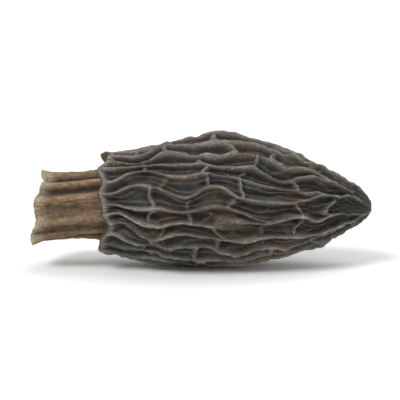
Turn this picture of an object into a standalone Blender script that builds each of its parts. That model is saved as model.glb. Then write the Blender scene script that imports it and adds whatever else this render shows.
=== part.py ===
"""A dried morel mushroom with its stem cut short, lying on its side. Metres, +Z up.

The cap and the stem grew as one hollow piece, so the mushroom is one closed solid, open only at the cut end
of its stem. Its long axis runs along +X, from the cut end to the tip of the cap, and its origin is under its
middle, on the surface that it lies on.
"""

import math
import random

import bmesh
import bpy
import numpy as np
from mathutils import Matrix, Vector

MM = 0.001
NAME = "dried_morel"
TURN = 2 * math.pi

# Lengths along the axis. Places along it are counted from the cut end of the stem.
LENGTH = 40.4 * MM
STEM_LENGTH = 8.5 * MM
CAP_LENGTH = LENGTH - STEM_LENGTH

# The cap over its ridges: its widest place is a share of its length from the rim.
CAP_RADIUS = 9.1 * MM
RIM_RADIUS = 6.8 * MM
BELLY_AT = 0.36
TIP_POWER = 1.7
TIP_ROUNDING = 1.6
TIP_RADIUS = 0.9 * MM
OUTLINE_SAMPLES = 4000

# The wavy rim, and the groove between it and the stem: each step's place along the axis from the rim, its radius,
# and how much of the rim's wave it keeps. The wave fades out at a share of the cap's length.
RIM_WAVES = ((0.4 * MM, 4, 0, 0.6), (0.28 * MM, 7, 0, 2), (0.2 * MM, 13, 0, 0))
RIM_WAVE_END = 0.16
GROOVE = (
    {"along": -0.35 * MM, "radius": 6.2 * MM, "wave": 1.0},
    {"along": 0.2 * MM, "radius": 5.5 * MM, "wave": 0.8},
    {"along": 1.2 * MM, "radius": 3.8 * MM, "wave": 0.0},
)

# The stem, its pleats and its cut end. Its rings lie at shares of its length, the last of them inside the cap.
STEM_RADIUS = 4.95 * MM
STEM_WAIST = 0.3 * MM
STEM_RINGS = (0, 0.12, 0.3, 0.5, 0.7, 0.88, 1.04, 1.44)
STEM_STEPS = 66
PLEATS = 11
PLEAT_DEPTH = 0.7 * MM
PLEAT_UNEVENNESS = ((0.3, 3, 0, 1),)
PLEAT_LEAN = ((0.5, 2, 0, 1), (0.25, 5, 0, 0))
PLEAT_TWIST = 0.9
CUT_WAVES = ((0.6 * MM, 1, 0, -0.4), (0.3 * MM, 4, 0, 0))
CUT_WAVE_END = 0.5

# The flesh that is left round the hollow. In the stem the hollow folds with the pleats, though less deeply, and in the
# cap it runs between two shares of the cap's length.
STEM_WALL = 1.0 * MM
HOLLOW_FOLD = 0.6
HOLLOW_NECK = 2.0 * MM
CAP_WALL = 1.0 * MM
CAP_HOLLOW = (0.2, 0.84)
DOME = {"height": 0.7 * MM, "width": 0.45}
HOLLOW_STEPS = 30
CUTTER_REACH = 2.0 * MM

# The net of ridges round the pits, in columns that start at the rim. Of each four, one reaches the tip and the others
# end at shares of the way. A pit's place drifts by shares of a column, and its length by shares of the mean.
SEED = 17
COLUMNS = 26
COLUMN_REACHES = ((0.97, 0.97), (0.56, 0.7), (0.85, 0.85), (0.6, 0.74))
COLUMN_DRIFT = 0.16
PIT_DRIFT = 0.1
PIT_LENGTH = 5.4 * MM
FIRST_PIT = (0.15, 1.0)
NEXT_PIT = (0.72, 1.3)
PIT_DEPTH = 1.5 * MM
FULL_DEPTH_RADIUS = 5.0 * MM
FULL_DEPTH_WIDTH = 1.3 * MM
STRETCH = 0.3
SLOPE_STEP = 0.004
EDGE_LENGTH = 1.9 * MM
SHORTEST_EDGE = 0.35 * MM
SAME_POINT = 0.001 * MM
LIP = {"across": 0.17, "along": 0.07, "depth": 0.03}
FLOOR = {"across": 0.56, "along": 0.28, "depth": 0.9}
SHALLOWEST_PIT = 0.1 * MM

# Waves over the angle round the cap and the height on the net's plane: each one's size, its turns round the cap, its
# turn with height, and its phase. The ridges wander by the first, shift along by the second, and dip by the product of
# the pairs in the third, as a share of a pit's depth.
WANDER = ((0.07, 3, 17, 0), (0.045, 5, -23, 2))
SLIDE = ((0.03, 4, 9, 1),)
CREST_DIP = 0.17
DIPS = ((0.1, (1, 5, 17, 0), (1, 3, -11, 2)), (0.07, (1, 11, 37, 1), (1, 9, -29, 0)))

# How the drying has bent, squeezed and creased the whole, and how far it is pressed flat where it lies.
WIDENED = 1.05
FLATTENED = 0.92
DROOP = 0.9 * MM
SWING = 1.2 * MM
TWIST = 0.35
PRESSED = 0.6 * MM
PRESSED_FADE = 1.1 * MM
FURROWS = (
    {"angle": 138, "drift": 50, "depth": 1.5 * MM, "spread": 17, "at": 0.46, "reach": 0.34},
    {"angle": 66, "drift": -40, "depth": 1.2 * MM, "spread": 15, "at": 0.60, "reach": 0.30},
    {"angle": 214, "drift": -50, "depth": 0.9 * MM, "spread": 14, "at": 0.36, "reach": 0.30},
    {"angle": 335, "drift": 40, "depth": 1.6 * MM, "spread": 20, "at": 0.50, "reach": 0.36},
)
LEAST_LEFT = 0.35

CAP_SKIN = {"name": "cap_skin", "colour": (0.062, 0.056, 0.048, 1.0), "roughness": 0.62}
STEM_SKIN = {"name": "stem_skin", "colour": (0.235, 0.165, 0.105, 1.0), "roughness": 0.8}
SHARP_ANGLE = 35


def waves(table, angle, height=0.0):
    """The sum of a table's waves here."""
    return sum(size * math.sin(turns * angle + rise * height + phase) for size, turns, rise, phase in table)


def cap_radius(share):
    """The cap's radius over its ridges, at a share of its length from the rim."""
    swell = np.sin(np.clip(share / BELLY_AT, 0, 1) * math.pi / 2)
    taper = np.clip((share - BELLY_AT) / (1 - BELLY_AT), 0, 1)
    below = RIM_RADIUS + (CAP_RADIUS - RIM_RADIUS) * swell
    return np.where(share < BELLY_AT, below, CAP_RADIUS * (1 - taper**TIP_POWER) ** (1 / TIP_ROUNDING))


def cap_outline():
    """The cap's outline from rim to tip: place along the axis, radius, arc length and height on the net's plane.

    That height grows by arc length over radius, so that cells drawn over angle and height keep their proportions on
    the cap and shrink evenly towards the tip.
    """
    share = 1 - np.linspace(1, 0, OUTLINE_SAMPLES) ** 2
    x, radius = STEM_LENGTH + CAP_LENGTH * share, cap_radius(share)
    kept = radius >= TIP_RADIUS
    x, radius = x[kept], radius[kept]
    step = np.hypot(np.diff(x), np.diff(radius))
    arc = np.concatenate([[0], np.cumsum(step)])
    height = np.concatenate([[0], np.cumsum(step * 2 / (radius[1:] + radius[:-1]))])
    return x, radius, arc, height * STRETCH


CAP_X, CAP_R, CAP_ARC, CAP_HEIGHT = cap_outline()
TOP = float(CAP_HEIGHT[-1])


def crease_depth(x, angle):
    """How far the furrows draw the skin in at this place along the axis and angle round it."""
    share = (x - STEM_LENGTH) / CAP_LENGTH
    depth = 0.0
    for furrow in FURROWS:
        centre = math.radians(furrow["angle"] + furrow["drift"] * (share - furrow["at"]))
        off = (angle - centre + math.pi) % TURN - math.pi
        across = (off / math.radians(furrow["spread"])) ** 2
        along = ((share - furrow["at"]) / furrow["reach"]) ** 2
        depth += furrow["depth"] * math.exp(-across - along)
    return depth


def placed(x, radius, angle):
    """The point at this place along the axis, distance from it and angle round it, as the mushroom lies."""
    radius = max(radius - crease_depth(x, angle), LEAST_LEFT * radius)
    arch = math.sin(math.pi * min(max(x / LENGTH, 0), 1))
    lowest = -FLATTENED * CAP_RADIUS + PRESSED
    z = DROOP * (arch - 1) + FLATTENED * radius * math.sin(angle)
    return Vector((x, WIDENED * radius * math.cos(angle) - SWING * arch, max(z - lowest, 0)))


def rim_shift(angle, share):
    """How far the wavy rim moves a point of the cap along the axis. It fades out within the cap."""
    return waves(RIM_WAVES, angle) * max(1 - share / RIM_WAVE_END, 0)


def crest_dip(angle, height):
    """How low the ridges run here, as a share of a pit's depth: they rise and fall along their length."""
    products = (size * waves((a,), angle, height) * waves((b,), angle, height) for size, a, b in DIPS)
    return CREST_DIP + sum(products)


def meandered(angle, height):
    """A point of the net's plane, moved so that straight ridges wander, less near the tip, and turn round the cap."""
    share = height / TOP
    slide = math.sin(math.pi * share) * waves(SLIDE, angle, height)
    return angle + TWIST * share + waves(WANDER, angle, height) * (1 - share), height + slide


def cap_point(angle, height, sunk=0.0):
    """A point of the cap's skin from a point of the net's plane, sunk below the ridges by a share of a pit's depth."""
    angle, height = meandered(angle, height)
    x, radius = (float(np.interp(height, CAP_HEIGHT, values)) for values in (CAP_X, CAP_R))
    near_by = (height - SLOPE_STEP, height + SLOPE_STEP)
    rise, level = (float(np.diff(np.interp(near_by, CAP_HEIGHT, values))[0]) for values in (CAP_R, CAP_X))
    slope = math.atan2(rise, level)
    x += rim_shift(angle, (x - STEM_LENGTH) / CAP_LENGTH)
    free = min(placed(x, radius, angle).z / PRESSED_FADE, 1)
    dip = crest_dip(angle, height)
    depth = (dip + (1 - dip) * sunk) * PIT_DEPTH * min(radius / FULL_DEPTH_RADIUS, 1)
    depth *= free * free * (3 - 2 * free)
    return placed(x + depth * math.sin(slope), radius - depth * math.cos(slope), angle)


def pit_centres():
    """The middle of each pit on the net's plane."""
    draw = random.Random(SEED)
    centres = []
    for column in range(COLUMNS):
        middle = column + draw.uniform(-COLUMN_DRIFT, COLUMN_DRIFT)
        reach = CAP_ARC[-1] * draw.uniform(*COLUMN_REACHES[column % len(COLUMN_REACHES)])
        arc = PIT_LENGTH * draw.uniform(*FIRST_PIT)
        while arc < reach:
            angle = TURN * (middle + draw.uniform(-PIT_DRIFT, PIT_DRIFT)) / COLUMNS
            centres.append((angle, float(np.interp(arc, CAP_ARC, CAP_HEIGHT))))
            arc += PIT_LENGTH * draw.uniform(*NEXT_PIT)
    return centres


def clipped(corners, centre, other):
    """The part of a polygon on the net's plane that is nearer to one pit's centre than to another's."""
    dx, dy = other[0] - centre[0], other[1] - centre[1]
    limit = (other[0] ** 2 + other[1] ** 2 - centre[0] ** 2 - centre[1] ** 2) / 2
    kept = []
    for here, ahead in zip(corners, corners[1:] + corners[:1]):
        a, b = here[0] * dx + here[1] * dy - limit, ahead[0] * dx + ahead[1] * dy - limit
        if a <= 0:
            kept.append(here)
        if a * b < 0:
            t = a / (a - b)
            kept.append((here[0] + t * (ahead[0] - here[0]), here[1] + t * (ahead[1] - here[1])))
    return kept


def cut_sides(corners):
    """The polygon with its long sides cut into short ones. A side that two pits share is cut alike in both."""
    cut = []
    for here, ahead in zip(corners, corners[1:] + corners[:1]):
        length = (cap_point(*ahead) - cap_point(*here)).length
        pieces = math.ceil(length / EDGE_LENGTH)
        cut += [tuple(h + (a - h) * i / pieces for h, a in zip(here, ahead)) for i in range(pieces)]
    return cut


def pit_outlines():
    """Each pit's outline on the net's plane: the points nearer to its centre than to any other, round the whole cap."""
    centres = pit_centres()
    around = [(angle + turn, height) for turn in (-TURN, 0, TURN) for angle, height in centres]
    outlines = []
    for centre in centres:
        left, right = centre[0] - TURN / 4, centre[0] + TURN / 4
        corners = [(left, 0.0), (right, 0.0), (right, TOP), (left, TOP)]
        for other in around:
            if 0 < math.dist(other, centre) < TURN / 2:
                corners = clipped(corners, centre, other)
        outlines.append(cut_sides(corners))
    return outlines


def on_plane(vertices, layers):
    """The net's plane points of vertices round one pit, and the middle of those points."""
    angle_of, height_of = layers
    first = vertices[0][angle_of]
    points = [((v[angle_of] - first + math.pi) % TURN - math.pi + first, v[height_of]) for v in vertices]
    return points, tuple(sum(values) / len(points) for values in zip(*points))


def sink(faces, layers, step):
    """Moves the corners of each face towards the face's middle and down into its pit."""
    for face in faces:
        points, middle = on_plane(face.verts, layers)
        length = max((v.co - face.verts[0].co).length for v in face.verts)
        depth = step["depth"] * min(face.calc_area() / length / FULL_DEPTH_WIDTH, 1)
        for vertex, (angle, height) in zip(face.verts, points):
            angle += (middle[0] - angle) * step["across"]
            height += (middle[1] - height) * step["along"]
            vertex.co = cap_point(angle, height, depth)


def pit_is_deep(face, layers):
    """Whether the pit is deep enough to model at each of its corners. Where the cap is pressed flat it isn't."""
    points, _ = on_plane(face.verts, layers)
    return min((cap_point(*p, 1.0) - v.co).length for v, p in zip(face.verts, points)) > SHALLOWEST_PIT


def finished(bm, name):
    """A mesh from the shape being built."""
    mesh = bpy.data.meshes.new(name)
    bm.to_mesh(mesh)
    bm.free()
    return mesh


def cap_mesh():
    """The cap as a closed solid: ridges round sunk pits, a closed tip, and the groove under its rim."""
    bm = bmesh.new()
    layers = bm.verts.layers.float.new("angle"), bm.verts.layers.float.new("height")
    angle_of, height_of = layers
    for outline in pit_outlines():
        ring = [bm.verts.new(cap_point(*corner)) for corner in outline]
        for vertex, corner in zip(ring, outline):
            vertex[angle_of], vertex[height_of] = corner
        bm.faces.new(ring)
    bmesh.ops.remove_doubles(bm, verts=bm.verts, dist=SAME_POINT)
    bmesh.ops.dissolve_degenerate(bm, edges=bm.edges, dist=SHORTEST_EDGE)
    for vertex in bm.verts:
        vertex.co = cap_point(vertex[angle_of], vertex[height_of])
    deep = [f for f in bm.faces if pit_is_deep(f, layers)]

    open_edges = [e for e in bm.edges if e.is_boundary]
    tip = [e for e in open_edges if all(v[height_of] > TOP / 2 for v in e.verts)]
    rim = [e for e in open_edges if all(v[height_of] < TOP / 2 for v in e.verts)]
    bmesh.ops.contextual_create(bm, geom=tip)
    for step in GROOVE:
        made = bmesh.ops.extrude_edge_only(bm, edges=rim)["geom"]
        rim = [g for g in made if isinstance(g, bmesh.types.BMEdge)]
        for vertex in {v for e in rim for v in e.verts}:
            angle = meandered(vertex[angle_of], 0.0)[0]
            along = step["along"] + step["wave"] * rim_shift(angle, 0)
            vertex.co = placed(STEM_LENGTH + along, step["radius"], angle)
    bmesh.ops.contextual_create(bm, geom=rim)

    for step in (LIP, FLOOR):
        bmesh.ops.inset_individual(bm, faces=deep, thickness=0)
        sink(deep, layers, step)
    bmesh.ops.recalc_face_normals(bm, faces=bm.faces)
    return finished(bm, "cap")


def pleat(x, angle):
    """How far the stem's skin is drawn in between its pleats, from 0 on a pleat to 1 between two."""
    phase = PLEATS * angle + waves(PLEAT_LEAN, angle) + PLEAT_TWIST * x / STEM_LENGTH
    largest = sum(wave[0] for wave in PLEAT_UNEVENNESS)
    return (1 - largest + waves(PLEAT_UNEVENNESS, angle)) * (1 - math.cos(phase)) / 2


def stem_radius(x):
    """The stem's radius over its pleats, narrowest halfway along."""
    return STEM_RADIUS - STEM_WAIST * math.sin(math.pi * min(max(x / STEM_LENGTH, 0), 1))


def loft(name, rings):
    """A closed solid through rings of points, its ends filled."""
    bm = bmesh.new()
    loops = [[bm.verts.new(point) for point in ring] for ring in rings]
    for low, high in zip(loops, loops[1:]):
        for i in range(len(low)):
            bm.faces.new((low[i - 1], low[i], high[i], high[i - 1]))
    bm.faces.new(loops[0])
    bm.faces.new(loops[-1])
    bmesh.ops.recalc_face_normals(bm, faces=bm.faces)
    return finished(bm, name)


def stem_mesh():
    """The stem as a solid, from its slanting wavy cut end to inside the cap."""
    rings = []
    for share in STEM_RINGS:
        ring = []
        for i in range(STEM_STEPS):
            angle = TURN * i / STEM_STEPS
            x = share * STEM_LENGTH + waves(CUT_WAVES, angle) * max(1 - share / CUT_WAVE_END, 0)
            ring.append(placed(x, stem_radius(x) - PLEAT_DEPTH * pleat(x, angle), angle))
        rings.append(ring)
    return loft("stem", rings)


def hollow_mesh():
    """The hollow as a solid, from beyond the cut end, through the stem and out into the cap."""
    rings = []
    in_stem = [(x, stem_radius(x) - STEM_WALL) for x in np.linspace(-CUTTER_REACH, STEM_LENGTH + HOLLOW_NECK, 8)]
    shares = np.linspace(*CAP_HOLLOW, 9)
    in_cap = [(STEM_LENGTH + CAP_LENGTH * s, float(cap_radius(s)) - PIT_DEPTH - CAP_WALL) for s in shares]
    domed = (in_cap[-1][0] + DOME["height"], in_cap[-1][1] * DOME["width"])
    for x, radius in [*in_stem, *in_cap, domed]:
        past_neck = min(max((x - STEM_LENGTH) / HOLLOW_NECK - 1, 0), 1)
        folded = HOLLOW_FOLD * PLEAT_DEPTH * (1 - past_neck)
        angles = [TURN * i / HOLLOW_STEPS for i in range(HOLLOW_STEPS)]
        rings.append([placed(x, radius - folded * pleat(x, a), a) for a in angles])
    return loft("hollow", rings)


def skin(look):
    """A plain material from a look."""
    material = bpy.data.materials.new(look["name"])
    material.use_nodes = True
    shader = material.node_tree.nodes["Principled BSDF"]
    shader.inputs["Base Color"].default_value = look["colour"]
    shader.inputs["Roughness"].default_value = look["roughness"]
    shader.inputs["Metallic"].default_value = 0.0
    return material


def add(mesh, collection, material):
    """An object of this mesh in this collection."""
    mesh.materials.append(material)
    item = bpy.data.objects.new(mesh.name, mesh)
    collection.objects.link(item)
    return item


def joined(body, steps):
    """The mesh that the Boolean steps leave of the body. Its helpers are removed."""
    for operation, helper in steps:
        helper.hide_render = True
        helper.display_type = "WIRE"
        cut = body.modifiers.new(operation.lower(), "BOOLEAN")
        cut.operation = operation
        cut.object = helper
        cut.solver = "EXACT"
        cut.material_mode = "TRANSFER"
    bpy.context.view_layer.update()
    graph = bpy.context.evaluated_depsgraph_get()
    mesh = bpy.data.meshes.new_from_object(body.evaluated_get(graph))
    body.modifiers.clear()
    for _, helper in steps:
        bpy.data.objects.remove(helper)
    return mesh


def main():
    for item in list(bpy.data.objects):
        bpy.data.objects.remove(item)
    mushroom = bpy.data.collections.new("dried morel mushroom")
    cutters = bpy.data.collections.new("cutters")
    bpy.context.scene.collection.children.link(mushroom)
    bpy.context.scene.collection.children.link(cutters)

    dark, pale = skin(CAP_SKIN), skin(STEM_SKIN)
    morel = add(cap_mesh(), mushroom, dark)
    stem = add(stem_mesh(), cutters, pale)
    hollow = add(hollow_mesh(), cutters, pale)
    morel.data = joined(morel, [("UNION", stem), ("DIFFERENCE", hollow)])
    morel.name = morel.data.name = NAME

    points = np.array([v.co for v in morel.data.vertices])
    middle = (points.min(axis=0) + points.max(axis=0)) / 2
    morel.data.transform(Matrix.Translation((-middle[0], -middle[1], 0)))
    morel.data.shade_smooth()
    morel.data.set_sharp_from_angle(angle=math.radians(SHARP_ANGLE))


main()
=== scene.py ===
# A dried morel mushroom lying on its side: a dark net of ridges on a hollow cap, and a short pleated stem.
# The skin is one closed surface worked out with numpy. It runs from the hollow's blind end along the inner
# wall to the cut end of the stem, back outside along the stem and under the rim, and over the cap to its tip.
import itertools
import math
import random

import bpy
import numpy as np
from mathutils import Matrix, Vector


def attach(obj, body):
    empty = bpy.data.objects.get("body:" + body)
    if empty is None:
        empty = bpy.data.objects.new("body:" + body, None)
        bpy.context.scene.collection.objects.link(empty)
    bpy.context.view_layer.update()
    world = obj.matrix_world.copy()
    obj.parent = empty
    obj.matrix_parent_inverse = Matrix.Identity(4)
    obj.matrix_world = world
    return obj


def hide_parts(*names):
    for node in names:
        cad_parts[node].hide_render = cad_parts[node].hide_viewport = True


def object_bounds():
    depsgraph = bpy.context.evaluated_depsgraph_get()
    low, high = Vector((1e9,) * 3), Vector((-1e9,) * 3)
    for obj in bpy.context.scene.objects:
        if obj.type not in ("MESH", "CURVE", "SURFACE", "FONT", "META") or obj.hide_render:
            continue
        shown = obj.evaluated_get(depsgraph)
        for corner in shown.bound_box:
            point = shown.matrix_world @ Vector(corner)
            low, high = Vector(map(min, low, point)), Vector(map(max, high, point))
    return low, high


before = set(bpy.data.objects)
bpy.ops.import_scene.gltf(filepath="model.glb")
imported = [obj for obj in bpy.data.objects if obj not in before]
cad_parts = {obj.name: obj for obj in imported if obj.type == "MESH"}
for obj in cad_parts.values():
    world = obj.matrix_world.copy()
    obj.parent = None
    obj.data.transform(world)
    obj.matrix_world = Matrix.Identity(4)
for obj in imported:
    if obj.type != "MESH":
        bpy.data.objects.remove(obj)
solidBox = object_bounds()

mm = 0.001
turn = 2 * math.pi

# the body that the ridges, pleats and hollow are laid on, in the sizes of the solid
form = {
    "length": 40.4 * mm,
    "stemLength": 8.5 * mm,
    "capRadius": 9.1 * mm,
    "rimRadius": 6.8 * mm,
    "bellyAt": 0.36,  # share of the cap's length from the rim
    "tipPower": 1.7,
    "tipRounding": 1.6,
    "tipRadius": 0.9 * mm,  # the net of ridges ends here, in a small dome
    "rimWaves": ((0.4 * mm, 4, 0, 0.6), (0.28 * mm, 7, 0, 2), (0.2 * mm, 13, 0, 0)),
    "rimWaveEnd": 0.16,
    "widened": 1.05,
    "flattened": 0.92,
    "droop": 0.9 * mm,
    "swing": 1.2 * mm,
    "pressed": 0.6 * mm,
    "leastLeft": 0.35,
    "boxMiddle": (19.67 * mm, -1.21 * mm),  # middle of the solid's box, along and across, before centring
    "furrows": (
        {"angle": 138, "drift": 50, "depth": 1.5 * mm, "spread": 17, "at": 0.46, "reach": 0.34},
        {"angle": 66, "drift": -40, "depth": 1.2 * mm, "spread": 15, "at": 0.60, "reach": 0.30},
        {"angle": 214, "drift": -50, "depth": 0.9 * mm, "spread": 14, "at": 0.36, "reach": 0.30},
        {"angle": 335, "drift": 40, "depth": 1.6 * mm, "spread": 20, "at": 0.50, "reach": 0.36},
    ),
}
capLength = form["length"] - form["stemLength"]

# the random values that each use of the noise reads. A table of sizes takes the numbers up from its own
seeds = {
    "wobbleAcross": 31,
    "wobbleAlong": 41,
    "ragged": 51,
    "wrinkles": 61,
    "sags": 64,
    "leans": 67,
    "stemWrinkles": 71,
    "stemGrains": 81,
    "torn": 91,
    "flare": 97,
    "hollowGrains": 101,
    "crumbs": 111,
}
stirring = {"axes": (374761393, 668265263, 974634777), "seed": 144665, "last": 1274126177}


def softNoise(points, size, seed):
    # random values at the corners of a lattice of this size, blended smoothly between them: -1 to 1
    cells = points / size
    base = np.floor(cells).astype(np.int64)
    part = cells - base
    blend = part * part * (3 - 2 * part)
    total = np.zeros(points.shape[:-1])
    for corner in itertools.product((0, 1), repeat=3):
        key = ((base + corner) * stirring["axes"]).sum(axis=-1) + seed * stirring["seed"]
        key = (key ^ (key >> 13)) * stirring["last"]
        value = ((key ^ (key >> 16)) & 0xFFFF) / 32767.5 - 1
        total += value * np.prod(np.where(corner, blend, 1 - blend), axis=-1)
    return total


def layers(points, table, seed, shaped=lambda noise: noise):
    # noise of several sizes added up, each shaped alike and times its own amount
    return sum(much * shaped(softNoise(points, size, seed + n)) for n, (size, much) in enumerate(table))


def sumWaves(table, angle, height=0.0):
    # each wave: size, turns round the cap, turn with height on the net's plane, phase
    return sum(size * np.sin(turns * angle + rise * height + phase) for size, turns, rise, phase in table)


def smoothStep(value):
    # 0 below 0 and 1 above 1, with a soft start and end between them
    value = np.clip(value, 0, 1)
    return value * value * (3 - 2 * value)


def aroundAxis(x, radius, angle):
    # a point round a straight axis, for noise to be read at
    return np.stack(np.broadcast_arrays(x, radius * np.cos(angle), radius * np.sin(angle)), axis=-1)


def capRadiusAt(share):
    # a quarter sine from the rim out to the belly, then a rounded taper to the tip
    swell = np.sin(np.clip(share / form["bellyAt"], 0, 1) * math.pi / 2)
    taper = np.clip((share - form["bellyAt"]) / (1 - form["bellyAt"]), 0, 1)
    below = form["rimRadius"] + (form["capRadius"] - form["rimRadius"]) * swell
    above = form["capRadius"] * (1 - taper ** form["tipPower"]) ** (1 / form["tipRounding"])
    return np.where(share < form["bellyAt"], below, above)


def creaseDepth(x, angle):
    # bell-shaped furrows, each centred on a line that drifts round the cap on its way along it
    share = (x - form["stemLength"]) / capLength
    depth = 0.0
    for furrow in form["furrows"]:
        centre = np.radians(furrow["angle"] + furrow["drift"] * (share - furrow["at"]))
        off = (angle - centre + math.pi) % turn - math.pi
        across = (off / math.radians(furrow["spread"])) ** 2
        along = ((share - furrow["at"]) / furrow["reach"]) ** 2
        depth = depth + furrow["depth"] * np.exp(-across - along)
    return depth


def placed(x, radius, angle):
    # the point at a place along the axis, a distance from it and an angle round it, bent and pressed as
    # the mushroom lies
    radius = np.maximum(radius - creaseDepth(x, angle), form["leastLeft"] * radius)
    arch = np.sin(math.pi * np.clip(x / form["length"], 0, 1))
    lowest = form["pressed"] - form["flattened"] * form["capRadius"]
    y = form["widened"] * radius * np.cos(angle) - form["swing"] * arch
    z = form["droop"] * (arch - 1) + form["flattened"] * radius * np.sin(angle) - lowest
    return np.stack(np.broadcast_arrays(x, y, np.maximum(z, 0)), axis=-1)


# the net of ridges, in columns of pits from rim to tip, drawn in the same order as the solid's
net = {
    "seed": 17,
    "columns": 26,
    "reaches": ((0.97, 0.97), (0.56, 0.7), (0.85, 0.85), (0.6, 0.74)),
    "columnDrift": 0.16,
    "pitDrift": 0.1,
    "pitLength": 5.4 * mm,
    "firstPit": (0.15, 1.0),
    "nextPit": (0.72, 1.3),
    "width": 0.33 * mm,  # half the width of a ridge at half its height
    "power": 2.3,
    "crossing": (0.5, 1.0),  # heights of the walls that cross the pits
    "lengthwise": (0.68, 1.0),  # heights of the walls that run along them
}
ribs = {  # low ribs on the floors of the pits
    "seed": 5,
    "columns": 54,
    "reaches": ((0.97, 0.97), (0.75, 0.9)),
    "columnDrift": 0.2,
    "pitDrift": 0.14,
    "pitLength": 3.6 * mm,
    "firstPit": (0.1, 1.0),
    "nextPit": (0.6, 1.4),
    "width": 0.16 * mm,
    "power": 2.0,
    "crossing": (0.2, 0.6),
    "lengthwise": (0.5, 1.0),
}
walls = {  # how both kinds of wall are worked out
    "batches": 24,  # points are dealt with in this many lots, to save memory
    "nearest": 9,  # pit centres that are looked at for each point
    "fullWidthRadius": 7 * mm,
    "leastWidth": 0.45,
    "fullLuck": 0.6,  # a share of the lengthwise walls beyond this is at full height
    "slants": (0.25, 0.75),  # a wall counts as crossing below the first and as lengthwise above the second
    "joining": 7,  # a higher power makes sharper corners where walls meet
}
relief = {
    "stretch": 0.3,  # the net's plane is squeezed along the cap, so that its cells come out long
    "depth": 1.7 * mm,
    "fullDepthRadius": 4.2 * mm,
    "ribHeight": 0.26,
    "marginHeight": 0.85,  # a rib runs all along the rim and joins the ends of the ridges
    "marginWidth": 0.7 * mm,
    "twist": 0.35,
    "wander": ((0.07, 3, 17, 0), (0.045, 5, -23, 2)),
    "slide": ((0.03, 4, 9, 1),),
    "dip": 0.03,
    "dips": ((0.1, (1, 5, 17, 0), (1, 3, -11, 2)), (0.07, (1, 11, 37, 1), (1, 9, -29, 0))),
    "leans": ((7 * mm, 0.5 * mm), (2.2 * mm, 0.22 * mm)),  # size of each, and how far the crests lean over
    "leanPower": 1.5,
    "drawnOut": 0.45,  # wobbles and wrinkles are longer along the cap than across it
    "wobbles": (  # size, and how far the ridge lines are moved across and along
        (4.0 * mm, 0.42 * mm, 0.6 * mm),
        (1.7 * mm, 0.26 * mm, 0.8 * mm),
        (0.8 * mm, 0.1 * mm, 0.2 * mm),
    ),
    "livelier": (0.4, 0.7, 0.6),  # between these two shares of the cap the wobbles grow by the third value
    "ragged": ((3.5 * mm, 0.12), (1.1 * mm, 0.1), (0.5 * mm, 0.08)),
    "wrinkles": ((1.3 * mm, 0.12 * mm), (0.62 * mm, 0.09 * mm)),  # size across, depth
    "smootherCrests": 0.6,
    "leastWrinkled": 0.3,
    "sags": ((7.5 * mm, 0.5 * mm), (3.4 * mm, 0.26 * mm)),  # shallow dents and bulges, size and depth
    "standOut": (0.28 * mm, 0.3),  # the skin lies this far out, from this share of the cap on
    "freeFrom": 4 * mm,  # dips and sags are full this far above the floor, and none where the cap is pressed
    "shadeWidth": (3, 2),  # columns and rows on each side that a point is compared with, for its shade
    "shadeScale": 0.16 * mm,
    "around": 416,
    "alongCap": 194,
    "domeRows": 4,
    "domeHeight": 0.12 * mm,
    "domeEnd": 0.92,  # the share of a quarter turn at which the dome's last ring lies
}


def capOutline(count=4000):
    # rim to tip: place along the axis, radius, arc length and height on the net's plane, which grows by arc
    # over radius
    share = 1 - np.linspace(1, 0, count) ** 2
    x, radius = form["stemLength"] + capLength * share, capRadiusAt(share)
    kept = radius >= form["tipRadius"]
    x, radius = x[kept], radius[kept]
    step = np.hypot(np.diff(x), np.diff(radius))
    arc = np.concatenate([[0], np.cumsum(step)])
    height = np.concatenate([[0], np.cumsum(step * 2 / (radius[1:] + radius[:-1]))])
    return x, radius, arc, height * relief["stretch"]


outlineX, outlineR, outlineArc, outlineHeight = capOutline()


def meandered(angle, height):
    # a point of the net's plane, moved so that the straight ridges wander, less near the tip, and turn
    # round the cap
    share = height / outlineHeight[-1]
    slide = np.sin(math.pi * share) * sumWaves(relief["slide"], angle, height)
    wander = sumWaves(relief["wander"], angle, height) * (1 - share)
    return angle + relief["twist"] * share + wander, height + slide


def pitCentres(pits):
    # columns of pit centres on the net's plane, with their places drawn at random
    draw = random.Random(pits["seed"])
    centres = []
    for column in range(pits["columns"]):
        middle = column + draw.uniform(-pits["columnDrift"], pits["columnDrift"])
        reach = outlineArc[-1] * draw.uniform(*pits["reaches"][column % len(pits["reaches"])])
        arc = pits["pitLength"] * draw.uniform(*pits["firstPit"])
        while arc < reach:
            angle = turn * (middle + draw.uniform(-pits["pitDrift"], pits["pitDrift"])) / pits["columns"]
            centres.append((angle, float(np.interp(arc, outlineArc, outlineHeight))))
            arc += pits["pitLength"] * draw.uniform(*pits["nextPit"])
    return np.array(centres)


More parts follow.
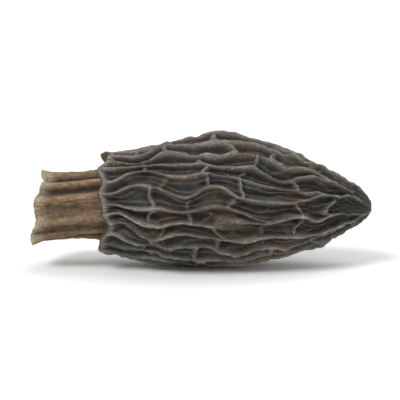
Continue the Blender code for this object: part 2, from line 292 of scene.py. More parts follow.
def wallHeights(points, radius, pits):
    # how high the walls between the pits stand, 0 to 1. The nearest pit centre owns a point, and the distance
    # to the line halfway to each other centre, taken back to millimetres on the cap, gives that wall's height
    centres = pitCentres(pits)
    around = np.concatenate([centres + (shift, 0) for shift in (-turn, 0, turn)])
    luck = np.random.default_rng(pits["seed"]).random((2, len(centres)))
    count, (crossingUpTo, lengthwiseFrom) = walls["nearest"], walls["slants"]
    heights = []
    for spots, r in zip(np.array_split(points, walls["batches"]), np.array_split(radius, walls["batches"])):
        apart = ((spots[:, None] - around) ** 2).sum(axis=-1)
        near = np.argpartition(apart, count, axis=1)[:, :count]
        apart = np.take_along_axis(apart, near, axis=1)
        order = np.argsort(apart, axis=1)
        near, apart = np.take_along_axis(near, order, axis=1), np.take_along_axis(apart, order, axis=1)
        between = around[near[:, 1:]] - around[near[:, :1]]
        length = np.hypot(between[..., 0], between[..., 1])
        away = (apart[:, 1:] - apart[:, :1]) / (2 * length)
        level, steep = between[..., 0] / length, relief["stretch"] * between[..., 1] / length
        across = np.hypot(level, steep)
        distance = away * r[:, None] / across
        width = pits["width"] * np.clip(r / walls["fullWidthRadius"], walls["leastWidth"], 1)[:, None]
        pair = (near[:, 1:] + near[:, :1]) % len(centres)
        crossing = np.interp(luck[0][pair], (0, 1), pits["crossing"])
        lengthwise = np.interp(luck[1][pair], (0, walls["fullLuck"]), pits["lengthwise"])
        slant = smoothStep((np.abs(level) / across - crossingUpTo) / (lengthwiseFrom - crossingUpTo))
        wall = (crossing + (lengthwise - crossing) * slant) / (1 + (distance / width) ** pits["power"])
        heights.append((wall ** walls["joining"]).sum(axis=1) ** (1 / walls["joining"]))
    return np.clip(np.concatenate(heights), 0, 1)


def shadeOf(height):
    # 0 in creases, 1 on edges: a point's height over the mean of its neighbours. The grid closes sideways
    columns, rows = relief["shadeWidth"]
    shifts = range(-columns, columns + 1)
    across = sum(np.roll(height, shift, axis=1) for shift in shifts) / (2 * columns + 1)
    padded = np.pad(across, ((rows, rows), (0, 0)), mode="edge")
    mean = sum(padded[shift : shift + len(height)] for shift in range(2 * rows + 1)) / (2 * rows + 1)
    return np.clip(0.5 + (height - mean) / relief["shadeScale"] / 2, 0, 1)


def ridgesAt(netAngle, netHeight, smooth, radius, sway):
    # how high the ridges and ribs stand, 0 to 1. Their lines wobble, because the net is read a little to the
    # side of each point, and their crests are ragged
    drawnOut = smooth * (relief["drawnOut"], 1, 1)
    for n, (size, across, along) in enumerate(relief["wobbles"]):
        netAngle = netAngle + across * sway * softNoise(drawnOut, size, seeds["wobbleAcross"] + n) / radius
        moved = along * sway * softNoise(drawnOut, size, seeds["wobbleAlong"] + n) / radius
        netHeight = netHeight + moved * relief["stretch"]
    spots = np.stack([netAngle, netHeight], axis=-1).reshape(-1, 2)
    ridges = wallHeights(spots, radius.ravel(), net).reshape(radius.shape)
    floors = wallHeights(spots, radius.ravel(), ribs).reshape(radius.shape)
    for n, (size, much) in enumerate(relief["ragged"]):
        ridges = ridges * (1 + much * softNoise(smooth, size, seeds["ragged"] + n) - much)
    return ridges, floors


def capRows():
    # the cap over its ridges, from the rim to the ring where its tip begins
    plain = turn * np.arange(relief["around"]) / relief["around"]
    arcs = np.linspace(0, outlineArc[-1], relief["alongCap"])
    netAngle, netHeight = np.meshgrid(plain, np.interp(arcs, outlineArc, outlineHeight))
    angle, height = meandered(netAngle, netHeight)
    x, radius = np.interp(height, outlineHeight, outlineX), np.interp(height, outlineHeight, outlineR)
    rise = np.interp(height, outlineHeight, np.gradient(outlineR, outlineHeight))
    level = np.interp(height, outlineHeight, np.gradient(outlineX, outlineHeight))
    slope = np.arctan2(rise, level)
    smooth = placed(x, radius, angle)
    share = (x - form["stemLength"]) / capLength
    shrink = np.clip(radius / relief["fullDepthRadius"], 0, 1)  # everything shrinks towards the tip
    free = smoothStep(smooth[..., 2] / relief["freeFrom"])

    calm, lively, more = relief["livelier"]
    sway = shrink * (1 + more * smoothStep((share - calm) / (lively - calm)))
    ridges, floors = ridgesAt(netAngle, netHeight, smooth, radius, sway)
    fromRim = np.interp(height, outlineHeight, outlineArc)
    margin = relief["marginHeight"] * np.exp(-((fromRim / relief["marginWidth"]) ** 2))
    raised = 1 - (1 - ridges) * (1 - relief["ribHeight"] * floors) * (1 - margin)

    # how deep the skin lies: the crests dip here and there, and wrinkles run along the pits
    dips = sum(
        deep * sumWaves((first,), angle, height) * sumWaves((second,), angle, height)
        for deep, first, second in relief["dips"]
    )
    dip = (relief["dip"] + dips) * free
    depth = (dip + (1 - dip) * (1 - raised)) * relief["depth"]
    drawnOut = smooth * (relief["drawnOut"], 1, 1)
    wrinkles = layers(drawnOut, relief["wrinkles"], seeds["wrinkles"], lambda noise: (1 - np.abs(noise)) ** 2)
    wrinkled = relief["leastWrinkled"] + (1 - relief["leastWrinkled"]) * free
    depth = depth + wrinkles * (1 - relief["smootherCrests"] * raised) * wrinkled
    shade = shadeOf(-depth)

    # the whole cap sags, stands out as far as the solid does, and its crests lean over
    outBy, outFrom = relief["standOut"]
    depth = depth + layers(smooth, relief["sags"], seeds["sags"]) * free
    depth = (depth - outBy * free * smoothStep(share / outFrom)) * shrink
    leaning = layers(smooth, relief["leans"], seeds["leans"])
    angle = angle + leaning * shrink * raised ** relief["leanPower"] / radius
    x = x + sumWaves(form["rimWaves"], angle) * np.clip(1 - share / form["rimWaveEnd"], 0, 1)
    return x + depth * np.sin(slope), radius - depth * np.cos(slope), angle, raised, shade


# the stem stub: a flaring tube with deep pleats, its finer wrinkles and its torn cut end
stem = {
    "radius": 4.95 * mm,
    "waist": 0.3 * mm,
    "uneven": ((0.3 * mm, 2, 0, 0.7), (0.2 * mm, 3, 0, 2.1), (0.1 * mm, 5, 0, 1.0)),
    "unevenTurn": 0.5,  # how far the uneven shape turns from the cut end to the rim
    "unevenFade": 0.6,
    "pleats": 11,
    "pleatDepth": 0.7 * mm,
    "pleatUnevenness": ((0.3, 3, 0, 1),),
    "pleatLean": ((0.5, 2, 0, 1), (0.25, 5, 0, 0)),
    "pleatTwist": 0.9,
    "cutWaves": ((0.6 * mm, 1, 0, -0.4), (0.3 * mm, 4, 0, 0)),
    "cutWaveEnd": 0.5,
    "wrinkles": ((0.8 * mm, 0.16 * mm), (0.35 * mm, 0.07 * mm)),  # size across, depth
    "wrinkleStretch": 0.22,
    "grains": ((0.28 * mm, 0.035 * mm),),
    "rows": 42,
    "grooveRows": 8,
    "grooveDepth": 0.9 * mm,
    "curlOut": (0.6 * mm, 6.5 * mm),  # how far the rim's edge hangs over the stem, and its radius there
    "curlIn": (0.3 * mm, 4.9 * mm),  # how far the groove under the rim goes in, and its radius there
    "curlWave": 0.6,
    "torn": ((2.4 * mm, 0.4 * mm), (1.0 * mm, 0.22 * mm), (0.35 * mm, 0.08 * mm)),  # size, how far
    "tornBack": 0.4,
    "tornEnd": 1 / 6,
    "flare": 0.35 * mm,  # the cut edge curls out this far, more in some places than in others
    "flareLength": 1.6 * mm,
    "flareEven": 0.6,
    "flareSpots": (4 * mm, 3 * mm),  # radius at which the noise is read, and its size
    "cutRows": 7,
    "cutRounding": 0.14 * mm,
    "cutSlant": 0.12 * mm,  # the bore's edge lies this much deeper than the skin's
    "crumbs": ((0.4 * mm, 0.07 * mm), (0.2 * mm, 0.04 * mm)),
    "paleEdge": 1.5 * mm,  # how far from the cut the skin is paler
}


def pleat(x, angle):
    # 0 on a pleat and 1 between two, unevenly deep and leaning round the stem
    twist = stem["pleatTwist"] * x / form["stemLength"]
    phase = stem["pleats"] * angle + sumWaves(stem["pleatLean"], angle) + twist
    largest = sum(wave[0] for wave in stem["pleatUnevenness"])
    return (1 - largest + sumWaves(stem["pleatUnevenness"], angle)) * (1 - np.cos(phase)) / 2


def stemRadiusAt(x, angle):
    # a slight waist, and a cross-section that isn't round, fading where the cap begins
    share = np.clip(x / form["stemLength"], 0, 1)
    uneven = sumWaves(stem["uneven"], angle + stem["unevenTurn"] * share) * (1 - stem["unevenFade"] * share)
    return stem["radius"] - stem["waist"] * np.sin(math.pi * share) + uneven


def stemSkin(x, angle):
    # the stem's outer radius: the pleats, with sharp lengthwise wrinkles and mealy grains on them
    radius = stemRadiusAt(x, angle) - stem["pleatDepth"] * pleat(x, angle)
    drawnOut = aroundAxis(x * stem["wrinkleStretch"], radius, angle)
    sharp = layers(drawnOut, stem["wrinkles"], seeds["stemWrinkles"], lambda noise: (1 - np.abs(noise)) ** 3)
    radius = radius - sharp
    return radius + layers(aroundAxis(x, radius, angle), stem["grains"], seeds["stemGrains"])


def stemRows(angle, share):
    # rings of the stem at these shares of its length, 0 at the torn cut and a little over 1 in the groove
    # under the rim
    share = np.reshape(share, (-1, 1))
    waves = sumWaves(stem["cutWaves"], angle)
    torn = 0.0
    for n, (size, reach) in enumerate(stem["torn"]):
        noise = softNoise(aroundAxis(n, stem["radius"], angle), size, seeds["torn"] + n)
        torn = torn + reach * (noise + stem["tornBack"])
    waved, ragged = (np.clip(1 - share / stem[end], 0, 1) for end in ("cutWaveEnd", "tornEnd"))
    x = share * form["stemLength"] + waves * waved + torn * ragged
    angle = np.broadcast_to(angle, x.shape)
    spotRadius, spotSize = stem["flareSpots"]
    flare = stem["flareEven"] + softNoise(aroundAxis(0.0, spotRadius, angle), spotSize, seeds["flare"])
    curl = np.clip(1 - (x - waves - torn) / stem["flareLength"], 0, 1) ** 2
    return x, stemSkin(x, angle) + stem["flare"] * curl * flare, angle


def underRimRows(low, high):
    # from the stem at the bottom of the groove out to the rim's edge, as one Bezier curve that hangs over
    # towards the stem
    (over, overRadius), (inside, insideRadius) = stem["curlOut"], stem["curlIn"]
    wave = sumWaves(form["rimWaves"], high[2])
    t = np.linspace(0, 1, stem["grooveRows"] + 2)[1:-1, None]
    points = (
        (low[0], low[1]),
        (form["stemLength"] + inside + stem["curlWave"] * wave, insideRadius),
        (form["stemLength"] - over + wave, overRadius),
        (high[0], high[1]),
    )
    shares = ((1 - t) ** 3, 3 * t * (1 - t) ** 2, 3 * t**2 * (1 - t), t**3)
    x = sum(share * point[0] for share, point in zip(shares, points))
    radius = sum(share * point[1] for share, point in zip(shares, points))
    return x, radius, low[2] + (high[2] - low[2]) * t


# the hollow: the bore of the stem, which folds with the pleats, and the wide hollow of the cap
hollow = {
    "stemWall": 1.0 * mm,
    "beyondCut": 2 * mm,
    "fold": 0.6,
    "neck": 2.0 * mm,
    "capWall": 1.0 * mm,
    "cap": (0.2, 0.84),
    "dome": (0.7 * mm, 0.45),
    "stations": (8, 9),  # where its radius is worked out, in the stem and in the cap
    "rows": 32,
    "crowding": 1.25,  # above 1, the rows lie closer together near the cut
    "grains": ((0.5 * mm, 0.07 * mm), (1.8 * mm, 0.3 * mm)),
    "grainRadius": 2 * mm,
}


def hollowRows(angle, share):
    # rings of the hollow at these shares of its depth, 1 at the blind end in the cap and 0 at the cut end
    inStem, inCap = hollow["stations"]
    cutX = stemRows(angle, 0)[0] + stem["cutSlant"]
    stemX = np.linspace(-hollow["beyondCut"], form["stemLength"] + hollow["neck"], inStem)
    shares = np.linspace(*hollow["cap"], inCap)
    capX = form["stemLength"] + capLength * shares
    capR = capRadiusAt(shares) - relief["depth"] - hollow["capWall"]
    height, width = hollow["dome"]
    stationX = np.concatenate([stemX, capX, [capX[-1] + height]])
    stemR = stemRadiusAt(stemX, 0.0) - sumWaves(stem["uneven"], 0.0) - hollow["stemWall"]
    stationR = np.concatenate([stemR, capR, [capR[-1] * width]])

    x = cutX + (stationX[-1] - cutX) * np.reshape(share, (-1, 1))
    angle = np.broadcast_to(angle, x.shape)
    inNeck = 1 - np.clip((x - form["stemLength"]) / hollow["neck"] - 1, 0, 1)
    outer = stemRadiusAt(x, angle)
    radius = np.interp(x, stationX, stationR) - hollow["fold"] * stem["pleatDepth"] * inNeck * pleat(x, angle)
    radius = radius + (outer - outer.mean(axis=1, keepdims=True)) * inNeck
    grains = layers(aroundAxis(x, radius, angle), hollow["grains"], seeds["hollowGrains"], np.abs)
    return x, radius - grains * np.clip(radius / hollow["grainRadius"], 0, 1), angle


def cutRows(inner, outer):
    # the cut face between the bore's edge and the stem's edge, rounded and crumbly
    t = np.linspace(0, 1, stem["cutRows"] + 2)[:-1, None]
    x, radius, angle = (low + (high - low) * t for low, high in zip(inner, outer))
    crumbs = layers(aroundAxis(x, radius, angle), stem["crumbs"], seeds["crumbs"])
    return x + (crumbs - stem["cutRounding"]) * 4 * t * (1 - t), radius, angle


def joinRings(low, high, lowStart, highStart, lowHeight, highHeight):
    # triangles between two rings of points. Where the rings have as many points, each square is cut along
    # the diagonal whose ends are more alike in height. Where one has twice as many, three triangles fill
    # each step
    i = np.arange(low)
    j = (i + 1) % low
    if low == high:
        a, b, c, d = lowStart + i, lowStart + j, highStart + j, highStart + i
        rising = np.abs(lowHeight - highHeight[j]) < np.abs(lowHeight[j] - highHeight)
        first = np.where(rising, (a, b, c), (a, b, d))
        second = np.where(rising, (a, c, d), (b, c, d))
        return np.concatenate([first, second], axis=1).T.tolist()
    p, q, r = 2 * i, 2 * i + 1, (2 * i + 2) % high
    faces = [
        (lowStart + i, highStart + q, highStart + p),
        (lowStart + i, lowStart + j, highStart + q),
        (lowStart + j, highStart + r, highStart + q),
    ]
    return np.concatenate(faces, axis=1).T.tolist()


# the marks by which the material knows where it is, rising from the hollow to the cap
region = {"inside": 0.0, "cut": 1.0, "stem": 2.0, "underRim": 2.5, "cap": 3.0}
markNames = ("crest", "shade", "region")
paleStem = 0.5  # the stem's mark is lower by this at the cut
# the low crest and shade marks under the rim paint shade into the groove there, and the cut's shade mark adds
# a little painted highlight
plainMarks = {"cutShade": 0.6, "underShade": 0.4, "underCrest": 0.3, "dome": 0.5}  # where none is worked out


def skinRings():
    # every ring of points from the blind end of the hollow to the tip of the cap, and the three marks of each
    # point. The stem has half as many points around as the cap, and the hollow a quarter
    capX, capR, capAngle, raised, capShade = capRows()
    full, half, quarter = capAngle[0], capAngle[0][::2], capAngle[0][::4]
    share = np.linspace(0, 1 + stem["grooveDepth"] / form["stemLength"], stem["rows"])
    stemX, stemR, stemAngle = stemRows(half, share)
    root = [row[0] for row in stemRows(full, share[-1])]
    underX, underR, underAngle = underRimRows(root, (capX[0], capR[0], capAngle[0]))
    boreShare = np.linspace(1, 0, hollow["rows"])[:-1] ** hollow["crowding"]
    boreX, boreR, boreAngle = hollowRows(quarter, boreShare)
    boreEdge = [row[0] for row in hollowRows(half, 0)]
    faceX, faceR, faceAngle = cutRows(boreEdge, (stemX[0], stemR[0], stemAngle[0]))
    t = np.linspace(0, 1, relief["domeRows"] + 1)[1:, None] * math.pi / 2
    domeX, domeR = capX[-1] + relief["domeHeight"] * np.sin(t), capR[-1] * np.cos(t * relief["domeEnd"])
    domeAngle = np.broadcast_to(capAngle[-1], domeR.shape)
    nearCut = np.clip(1 - (stemX - stemX[0]) / stem["paleEdge"], 0, 1)
    stemCrest, stemMark = 1 - pleat(stemX, stemAngle), region["stem"] - paleStem * nearCut
    underCrest = np.linspace(0, plainMarks["underCrest"], len(underX))[:, None]

    rings, marks = [], []
    for x, radius, angle, crest, shade, where in (
        (boreX, boreR, boreAngle, 0.0, shadeOf(-boreR), region["inside"]),
        (faceX, faceR, faceAngle, 0.0, plainMarks["cutShade"], region["cut"]),
        (stemX, stemR, stemAngle, stemCrest, shadeOf(stemR), stemMark),
        (underX, underR, underAngle, underCrest, plainMarks["underShade"], region["underRim"]),
        (capX, capR, capAngle, raised, capShade, region["cap"]),
        (domeX, domeR, domeAngle, plainMarks["dome"], plainMarks["dome"], region["cap"]),
    ):
        rings.extend(placed(x, radius, angle))
        marks.extend(np.stack(np.broadcast_arrays(crest + 0 * x, shade, where), axis=-1))
    return rings, marks


def buildSkin():
    # the rings joined into one closed mesh, with a point at both ends
    rings, marks = skinRings()
    counts = [len(ring) for ring in rings]
    starts = np.concatenate([[0], np.cumsum(counts)])
    faces = []
    for k in range(len(rings) - 1):
        crests = marks[k][:, 0], marks[k + 1][:, 0]
        faces += joinRings(counts[k], counts[k + 1], starts[k], starts[k + 1], *crests)
    blindEnd, tip = starts[-1], starts[-1] + 1
    points = np.concatenate([*rings, [rings[0].mean(axis=0), rings[-1].mean(axis=0)]])
    values = np.concatenate([*marks, [marks[0][0], marks[-1][-1]]])
    first, last = np.arange(counts[0]), starts[-2] + np.arange(counts[-1])
    faces += np.stack([np.roll(first, -1), first, np.full(counts[0], blindEnd)], axis=-1).tolist()
    faces += np.stack([last, np.roll(last, -1), np.full(counts[-1], tip)], axis=-1).tolist()

    points -= (*form["boxMiddle"], 0)  # centred as the solid is
    mesh = bpy.data.meshes.new("morelSkin")
    mesh.from_pydata(points.tolist(), [], faces)
    for name, column in zip(markNames, values.T.astype(np.float32)):
        mesh.attributes.new(name, "FLOAT", "POINT").data.foreach_set("value", column.copy())
    mesh.update()
    mesh.shade_smooth()
    return mesh


morel = bpy.data.objects.new("morel_skin", buildSkin())
bpy.context.scene.collection.objects.link(morel)
triangles = sum(len(face.vertices) - 2 for face in morel.data.polygons)
print("morel skin:", len(morel.data.vertices), "points,", triangles, "triangles")


class Socket:
    # a node's output that can be added, multiplied and so on: each sign adds a Math node
    def __init__(self, tree, output):
        self.tree = tree
        self.output = output

    def math(self, operation, *values, clamp=False):
        node = self.tree.nodes.new("ShaderNodeMath")
        node.operation = operation
        node.use_clamp = clamp
        for slot, value in zip(node.inputs, (self, *values)):
            plug(self.tree, slot, value)
        return Socket(self.tree, node.outputs[0])

    def __add__(self, other):
        return self.math("ADD", other)

    def __sub__(self, other):
        return self.math("SUBTRACT", other)

    def __mul__(self, other):
        return self.math("MULTIPLY", other)

    def __rsub__(self, other):
        return (self * -1) + other

    __radd__ = __add__
    __rmul__ = __mul__

    def clamped(self):
        return self.math("ADD", 0.0, clamp=True)

    def above(self, level, steepness):
        # 0 up to this level, then rising to 1
        return (self - level).math("MULTIPLY", steepness, clamp=True)

    def below(self, level, steepness):
        return (level - self).math("MULTIPLY", steepness, clamp=True)


def plug(tree, slot, value):
    if isinstance(value, Socket):
        tree.links.new(value.output, slot)
    else:
        slot.default_value = value


class Shader:
    # makes nodes in one material
    def __init__(self, name):
        self.material = bpy.data.materials.new(name)
        self.material.use_nodes = True
        self.tree = self.material.node_tree
        self.surface = self.tree.nodes["Principled BSDF"]

    def node(self, kind, settings=None, output=0, **values):
        made = self.tree.nodes.new("ShaderNode" + kind)
        for key, setting in (settings or {}).items():
            if key == "stops":
                ramp = made.color_ramp
                while len(ramp.elements) < len(setting):
                    ramp.elements.new(0.5)
                for element, (place, colour) in zip(ramp.elements, setting):
                    element.position = place
                    element.color = (*colour, 1)
            else:
                setattr(made, key, setting)
        for key, value in values.items():
            names = [slot for slot in made.inputs if slot.name.replace(" ", "") == key and slot.enabled]
            plug(self.tree, names[0], value)
        return Socket(self.tree, made.outputs[output])

    def mix(self, share, first, second, blend="MIX"):
        made = self.tree.nodes.new("ShaderNodeMix")
        made.data_type = "RGBA"
        made.blend_type = blend
        for slot, value in zip((made.inputs[0], made.inputs[6], made.inputs[7]), (share, first, second)):
            plug(self.tree, slot, value if isinstance(value, (Socket, float)) else (*value, 1))
        return Socket(self.tree, made.outputs[2])

    def times(self, first, second):
        return self.mix(1.0, first, second, blend="MULTIPLY")

    def ramp(self, share, *stops):
        return self.node("ValToRGB", {"stops": stops}, Fac=share)

    def attribute(self, name):
        return self.node("Attribute", {"attribute_name": name}, output=2)

    def spots(self, scale, stretch=(1, 1, 1)):
        # object coordinates in millimetres, stretched along an axis by a scale below 1
        place = self.tree.nodes.new("ShaderNodeTexCoord")
        mapping = self.tree.nodes.new("ShaderNodeMapping")
        mapping.inputs["Scale"].default_value = Vector(stretch) * scale / mm
        self.tree.links.new(place.outputs["Object"], mapping.inputs["Vector"])
        return Socket(self.tree, mapping.outputs[0])

    def noise(self, scale, stretch, detail, roughness):
        where = self.spots(scale, stretch)
        return self.node("TexNoise", Vector=where, Scale=1.0, Detail=detail, Roughness=roughness)

    def set(self, **values):
        for key, value in values.items():
            name = {"BaseColor": "Base Color", "SpecularIORLevel": "Specular IOR Level"}.get(key, key)
            plug(self.tree, self.surface.inputs[name], value)


# colours in linear light. The last six multiply what is under them
skinLook = {
    # pit, wall and crest are picked by ridge height and the shade mark: the dark pit is partly painted shade
    # and the light crest partly painted highlight
    "pit": (0.036, 0.035, 0.031),
    "wall": (0.084, 0.082, 0.0735),
    "crest": (0.168, 0.163, 0.145),
    # pale crest edges: partly real wear, partly painted highlight
    "worn": (0.32, 0.295, 0.245),
    "warmPatch": (0.125, 0.078, 0.047),
    "greyPatch": (0.073, 0.075, 0.069),
    # the stem's pale and fold colours follow pleat and shade: partly painted highlight on the pleats, painted
    # shade in the folds
    "stemPale": (0.285, 0.198, 0.112),
    "stemTan": (0.152, 0.094, 0.049),
    "stemFold": (0.042, 0.0235, 0.012),
    "stemEdge": (0.52, 0.43, 0.30),
    "fleck": (0.42, 0.37, 0.29),
    "cutFace": (0.46, 0.37, 0.245),
    "inside": (0.21, 0.155, 0.10),
    "unchanged": (1.0, 1.0, 1.0),
    "grainDark": (0.66, 0.65, 0.64),
    "grainPale": (1.34, 1.32, 1.29),
    # these two multiply by the shade mark: painted shade in creases, painted highlight on edges
    "creaseDark": (0.45, 0.43, 0.41),
    "edgePale": (1.25, 1.25, 1.25),
    # darkens the fine grooves: painted shade
    "grooveDark": (0.62, 0.61, 0.60),
}

# noise on the skin: how many to a millimetre, how it is stretched, its detail and its roughness
patterns = {
    "patches": (0.16, (1, 1, 1), 4.0, 0.55),
    "smallPatches": (0.55, (1, 1, 1), 3.0, 0.55),
    "streaks": (0.9, (0.3, 1, 1), 5.0, 0.65),
    "speckle": (4.5, (1, 1, 1), 3.0, 0.7),
    "mottle": (0.6, (0.35, 1, 1), 5.0, 0.6),
    "wrinkles": (1.7, (0.5, 1, 1), 7.0, 0.66),
    "pores": (7.0, (1, 1, 1), 4.0, 0.7),
}
fleckScale = 1.0  # pale grains to a millimetre, of which few are kept

# the value at which each finish begins or ends on what it reads, and how steeply. The two single numbers
# are the steepness alone
masks = {
    "cap": (2.4, 3.0),
    "outside": (0.0, 1.4),
    "cut": 1.3,
    "brown": (0.48, 8.0),
    "grey": (0.5, 3.0),
    "wornCrest": (0.5, 2.2),
    "wornShade": (0.45, 2.6),
    "wornPlace": (0.1875, 1.6),
    "fleck": (0.15, 12.0),
    "fleckPlace": (0.56, 14.0),
    "stemEdge": (2.0, 2.0),
    "pastCut": (1.4, 12.0),
    "edgePlace": (0.6 / 2.6, 2.6),
    "groove": 9.0,
}
strengths = {"brown": 0.62, "brownLessOnCrests": 0.5, "grey": 0.4, "fleck": 0.8, "cut": 0.8, "inside": 0.85}
bumps = {"wrinkles": 0.5, "grooves": 0.22, "pores": 0.28, "strength": 0.9, "distance": 0.32 * mm}
sheen = {"roughness": 0.48, "speckle": 0.28, "inPits": 0.16, "gloss": 0.4}

# how much ridge or pleat, noise and shade each add to the height that picks a colour, so that raised places
# get painted highlight and low ones painted shade, and what is taken off the stem's. Brown patches follow
# large and small patches of noise
tones = {"cap": (0.85, 0.45, 0.3), "stem": (0.5, 0.7, 0.7, 0.15), "brown": (0.6, 0.4)}


def capColour(look, noise, crest, shade):
    # painted shade in the dark pits and painted highlight on the lighter ridges, whose edges are worn pale
    # with more painted highlight, brown and grey patches, and a few pale grains
    byCrest, byStreak, byShade = tones["cap"]
    height = (crest * byCrest + (noise["streaks"] - 0.5) * byStreak + (shade - 0.5) * byShade).clamped()
    # the ramp by height paints shade into the pits and highlight onto the crests
    colour = look.ramp(height, (0.05, skinLook["pit"]), (0.45, skinLook["wall"]), (0.9, skinLook["crest"]))
    byLarge, bySmall = tones["brown"]
    brown = (noise["patches"] * byLarge + noise["smallPatches"] * bySmall).above(*masks["brown"])
    brown = brown * strengths["brown"] * (1 - height * strengths["brownLessOnCrests"])
    colour = look.mix(brown, colour, skinLook["warmPatch"])
    grey = noise["patches"].below(*masks["grey"])
    colour = look.mix(grey * strengths["grey"], colour, skinLook["greyPatch"])
    # worn pale edges on high crests, partly painted highlight
    worn = crest.above(*masks["wornCrest"]) * shade.above(*masks["wornShade"])
    colour = look.mix(worn * noise["smallPatches"].above(*masks["wornPlace"]), colour, skinLook["worn"])
    grit = look.node("TexVoronoi", {"feature": "F1"}, Vector=look.spots(fleckScale), Scale=1.0)
    flecks = grit.below(*masks["fleck"]) * noise["smallPatches"].above(*masks["fleckPlace"])
    return look.mix(flecks * strengths["fleck"], colour, skinLook["fleck"])


def stemColour(look, noise, crest, shade, where):
    # tan, paler on the pleats with painted highlight and along the torn edge, and dark brown in the folds,
    # which is painted shade
    byPleat, byMottle, byShade, lower = tones["stem"]
    height = (crest * byPleat + noise["mottle"] * byMottle + (shade - 0.5) * byShade - lower).clamped()
    stops = (0.1, skinLook["stemFold"]), (0.5, skinLook["stemTan"]), (0.95, skinLook["stemPale"])
    edge = where.below(*masks["stemEdge"]) * where.above(*masks["pastCut"])
    broken = edge * noise["mottle"].above(*masks["edgePlace"])
    return look.mix(broken, look.ramp(height, *stops), skinLook["stemEdge"])


def morelSkinMaterial():
    look = Shader("dried_morel_skin")
    crest, shade, where = (look.attribute(name) for name in markNames)
    noise = {name: look.noise(*values) for name, values in patterns.items()}
    isCap = where.above(*masks["cap"])
    isInside = 1 - where.above(*masks["outside"])
    isCut = (1 - (where - region["cut"]).math("ABSOLUTE") * masks["cut"]).clamped()

    cap, stalk = capColour(look, noise, crest, shade), stemColour(look, noise, crest, shade, where)
    colour = look.mix(isCap, stalk, cap)
    colour = look.mix(isCut * strengths["cut"], colour, skinLook["cutFace"])
    colour = look.mix(isInside * strengths["inside"], colour, skinLook["inside"])
    grain = look.ramp(noise["speckle"], (0.3, skinLook["grainDark"]), (0.7, skinLook["grainPale"]))
    colour = look.times(colour, grain)
    # painted shade in the creases and painted highlight on the edges, by the shade mark
    paintedCreaseLight = (0.0, skinLook["creaseDark"]), (0.5, skinLook["unchanged"]), (1.0, skinLook["edgePale"])
    colour = look.times(colour, look.ramp(shade, *paintedCreaseLight))

    # fine wrinkles: narrow grooves where a stretched noise crosses its middle value, bumped and darkened with
    # painted shade
    grooves = (noise["wrinkles"] - 0.5).math("ABSOLUTE").math("MULTIPLY", masks["groove"], clamp=True)
    grooveShading = look.ramp(grooves, (0.0, skinLook["grooveDark"]), (0.6, skinLook["unchanged"]))
    colour = look.times(colour, grooveShading)
    fine = noise["wrinkles"] * bumps["wrinkles"] + grooves * bumps["grooves"]
    fine = fine + noise["pores"] * bumps["pores"]
    bump = look.node("Bump", Height=fine, Strength=bumps["strength"], Distance=bumps["distance"])
    inPits = (1 - crest) * sheen["inPits"]
    rough = (sheen["roughness"] + noise["speckle"] * sheen["speckle"] + inPits).clamped()
    look.set(BaseColor=colour, Roughness=rough, Normal=bump, SpecularIORLevel=sheen["gloss"])
    return look.material


morel.data.materials.append(morelSkinMaterial())
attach(morel, "root")
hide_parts("dried_morel")
print("skin material made")

# a white bowl-shaped sweep, soft suns and a long lens that looks slightly down
studio = {
    "floor": (0.93, 0.93, 0.93),
    "floorRoughness": 0.9,
    "floorGloss": 0.1,
    "innerRing": 0.02,
    "flatTo": 0.25,  # radius of the flat floor, in metres, from where it curves up to its edge
    "edgeRadius": 1.3,
    "edgeHeight": 0.6,
    "sides": 128,
    "rings": 40,
    "suns": (
        {"name": "key", "from": (-0.50, -0.52, 0.69), "spread": 28, "power": 2.1},
        {"name": "top", "from": (0.30, 0.45, 0.84), "spread": 60, "power": 0.9},
        {"name": "fill", "from": (0.75, -0.60, 0.30), "spread": 60, "power": 0.35},
    ),
    "world": 0.5,
    "elevation": 7.0,
    "lens": 100.0,
    "fills": 0.86,  # share of the frame's width that the mushroom takes
    "clipStart": 0.01,
}


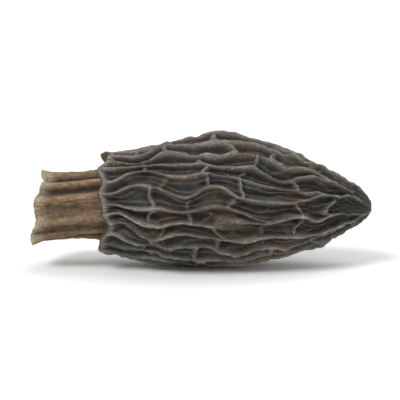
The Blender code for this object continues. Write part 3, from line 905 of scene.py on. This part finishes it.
def sweepMesh():
    # a flat round floor that curves up as a quarter of an ellipse, turned about the vertical
    sides, flatTo = studio["sides"], studio["flatTo"]
    bend = np.linspace(math.pi / 2, 0, studio["rings"])[:, None]  # inwards, so that the faces point up
    radius = flatTo + (studio["edgeRadius"] - flatTo) * np.sin(bend)
    radius = np.concatenate([radius, [[studio["innerRing"]]]])
    height = np.concatenate([studio["edgeHeight"] * (1 - np.cos(bend)), [[0]]])
    angle = turn * np.arange(sides) / sides
    x, y, z = np.broadcast_arrays(radius * np.cos(angle), radius * np.sin(angle), height)
    points = np.stack([x, y, z], axis=-1).reshape(-1, 3)
    faces, level = [list(range(len(points) - sides, len(points)))], np.zeros(sides)
    for ring in range(len(radius) - 1):
        faces += joinRings(sides, sides, ring * sides, (ring + 1) * sides, level, level)
    mesh = bpy.data.meshes.new("sweep")
    mesh.from_pydata(points.tolist(), [], faces)
    mesh.shade_smooth()
    return mesh


def makeStudio():
    sweep = bpy.data.objects.new("sweep", sweepMesh())
    bpy.context.scene.collection.objects.link(sweep)
    look = Shader("sweep_paper")
    look.set(
        BaseColor=(*studio["floor"], 1),
        Roughness=studio["floorRoughness"],
        SpecularIORLevel=studio["floorGloss"],
    )
    sweep.data.materials.append(look.material)

    for sun in studio["suns"]:
        light = bpy.data.lights.new(sun["name"], "SUN")
        light.angle = math.radians(sun["spread"])
        light.energy = sun["power"]
        item = bpy.data.objects.new(sun["name"], light)
        item.rotation_euler = Vector(sun["from"]).to_track_quat("Z", "Y").to_euler()
        bpy.context.scene.collection.objects.link(item)
    world = bpy.data.worlds.new("studio")
    world.use_nodes = True
    world.node_tree.nodes["Background"].inputs["Strength"].default_value = studio["world"]
    world.node_tree.nodes["Background"].inputs["Color"].default_value = (1, 1, 1, 1)
    bpy.context.scene.world = world
    bpy.context.scene.view_settings.view_transform = "Standard"


def makeCamera():
    low, high = solidBox
    camera = bpy.data.objects.new("camera", bpy.data.cameras.new("camera"))
    camera.data.lens = studio["lens"]
    raised = math.radians(studio["elevation"])
    away = (high.x - low.x) / studio["fills"] * studio["lens"] / camera.data.sensor_width
    back = Vector((0, -math.cos(raised), math.sin(raised)))
    camera.location = (low + high) / 2 + back * away
    camera.rotation_euler = back.to_track_quat("Z", "Y").to_euler()
    camera.data.clip_start = studio["clipStart"]
    bpy.context.scene.collection.objects.link(camera)
    bpy.context.scene.camera = camera


makeStudio()
makeCamera()
print("studio and camera made")
